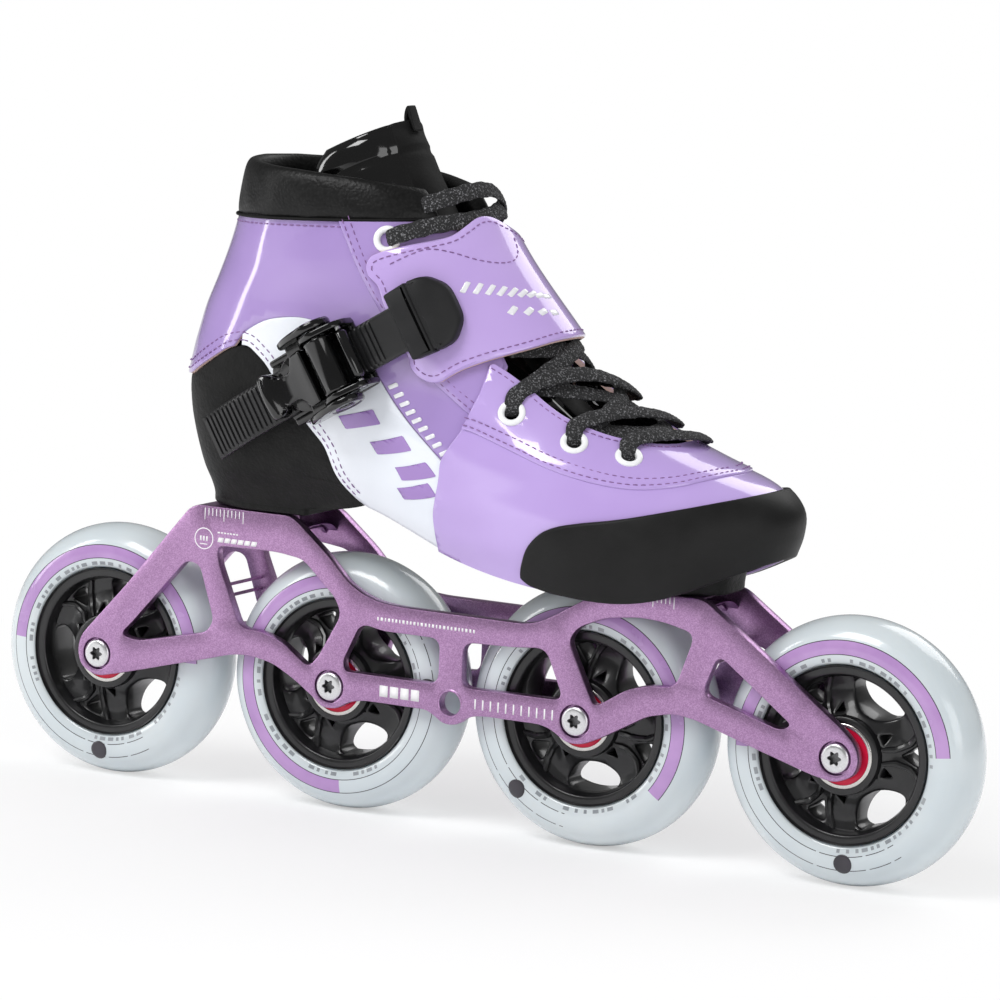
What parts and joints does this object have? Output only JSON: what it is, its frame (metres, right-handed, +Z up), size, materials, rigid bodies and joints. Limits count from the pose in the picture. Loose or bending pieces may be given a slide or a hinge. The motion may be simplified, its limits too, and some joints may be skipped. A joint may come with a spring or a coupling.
{
  "type": "inline skate",
  "caption": "Child's right inline speed skate: soft lilac boot with buckled ankle strap on a windowed frame carrying a row of wheels on bearings.",
  "frame": {"origin": "ground contact plane, under the middle of the wheelbase and the middle of the whole width; the buckle makes the lateral side wider, so the wheels' mid-plane is at y = +0.003472 m", "axes": "+X toward the toe, +Y toward the medial (inner) side of this right-foot skate, +Z up; the four axles run along Y at z = 0.045 m"},
  "size_m": [0.376, 0.0972, 0.2455],
  "materials": {
    "anodised_frame": "satin anodised lilac",
    "tyre": "milky polyurethane",
    "hub": "gloss",
    "bearing_shield": "satin",
    "bearing_steel": "polished",
    "bolt_steel": "satin",
    "shell": "fine grain matte",
    "foam": "knit",
    "patent_white": "patent gloss",
    "patent_lilac": "patent gloss",
    "bumper_rubber": "matte",
    "collar_leather": "pebbled",
    "patent_black": "patent gloss",
    "lace": "woven, grey fleck",
    "buckle": "gloss",
    "ladder": "satin"
  },
  "bodies": {
    "chassis": {"frame": "anodised_frame", "axle_1": "bolt_steel", "spacer_1": "bearing_steel", "axle_2": "bolt_steel", "spacer_2": "bearing_steel", "axle_3": "bolt_steel", "spacer_3": "bearing_steel", "axle_4": "bolt_steel", "spacer_4": "bearing_steel", "bearing_inner_1_lateral": "bearing_steel", "bearing_inner_1_medial": "bearing_steel", "bearing_inner_2_lateral": "bearing_steel", "bearing_inner_2_medial": "bearing_steel", "bearing_inner_3_lateral": "bearing_steel", "bearing_inner_3_medial": "bearing_steel", "bearing_inner_4_lateral": "bearing_steel", "bearing_inner_4_medial": "bearing_steel", "boot_shell": "shell", "insole": "foam", "side_panel_lateral": "patent_white", "side_panel_medial": "patent_white", "quarter": "patent_lilac", "vamp": "patent_lilac", "toe_bumper": "bumper_rubber", "lining": "foam", "collar_pad": "collar_leather", "lace": "lace", "ankle_strap": "patent_lilac", "buckle_base": "buckle", "buckle_pin": "buckle", "pawl_pin": "bolt_steel", "mount_washer_rear": "bolt_steel", "mount_bolt_rear": "bolt_steel", "mount_insert_rear": "bolt_steel", "mount_washer_front": "bolt_steel", "mount_bolt_front": "bolt_steel", "mount_insert_front": "bolt_steel"},
    "buckle_lever_body": {"buckle_lever": "buckle"},
    "buckle_pawl_body": {"buckle_pawl": "buckle"},
    "ladder_body": {"ladder_strap": "ladder", "strap_cap": "bumper_rubber"},
    "tongue_body": {"tongue": "patent_black"},
    "wheel_1": {"tyre_1": "tyre", "hub_1": "hub", "bearing_outer_1_lateral": "bearing_shield", "bearing_outer_1_medial": "bearing_shield"},
    "wheel_2": {"tyre_2": "tyre", "hub_2": "hub", "bearing_outer_2_lateral": "bearing_shield", "bearing_outer_2_medial": "bearing_shield"},
    "wheel_3": {"tyre_3": "tyre", "hub_3": "hub", "bearing_outer_3_lateral": "bearing_shield", "bearing_outer_3_medial": "bearing_shield"},
    "wheel_4": {"tyre_4": "tyre", "hub_4": "hub", "bearing_outer_4_lateral": "bearing_shield", "bearing_outer_4_medial": "bearing_shield"}
  },
  "joints": [
    {"name": "wheel_1_spin", "type": "hinge", "parent": "chassis", "child": "wheel_1", "pos_m": [-0.143, 0.00347, 0.045], "axis": [0, 1, 0], "continuous": true},
    {"name": "wheel_2_spin", "type": "hinge", "parent": "chassis", "child": "wheel_2", "pos_m": [-0.04767, 0.00347, 0.045], "axis": [0, 1, 0], "continuous": true},
    {"name": "wheel_3_spin", "type": "hinge", "parent": "chassis", "child": "wheel_3", "pos_m": [0.04767, 0.00347, 0.045], "axis": [0, 1, 0], "continuous": true},
    {"name": "wheel_4_spin", "type": "hinge", "parent": "chassis", "child": "wheel_4", "pos_m": [0.143, 0.00347, 0.045], "axis": [0, 1, 0], "continuous": true},
    {"name": "buckle_lever_hinge", "type": "hinge", "parent": "chassis", "child": "buckle_lever_body", "pos_m": [-0.03657, -0.04143, 0.15967], "axis": [-0.515, 0, 0.8572], "range_deg": [0, 85]},
    {"name": "buckle_pawl_hinge", "type": "hinge", "parent": "chassis", "child": "buckle_pawl_body", "pos_m": [-0.0292, -0.04023, 0.16409], "axis": [0.515, 0, -0.8572], "range_deg": [0, 12]},
    {"name": "ladder_slide", "type": "slide", "parent": "chassis", "child": "ladder_body", "axis": [0.8572, 0, 0.515], "range_m": [-0.001, 0.01]},
    {"name": "tongue_hinge", "type": "hinge", "parent": "chassis", "child": "tongue_body", "pos_m": [0.058, 0.00347, 0.132], "axis": [0, -1, 0], "range_deg": [0, 7]}
  ]
}
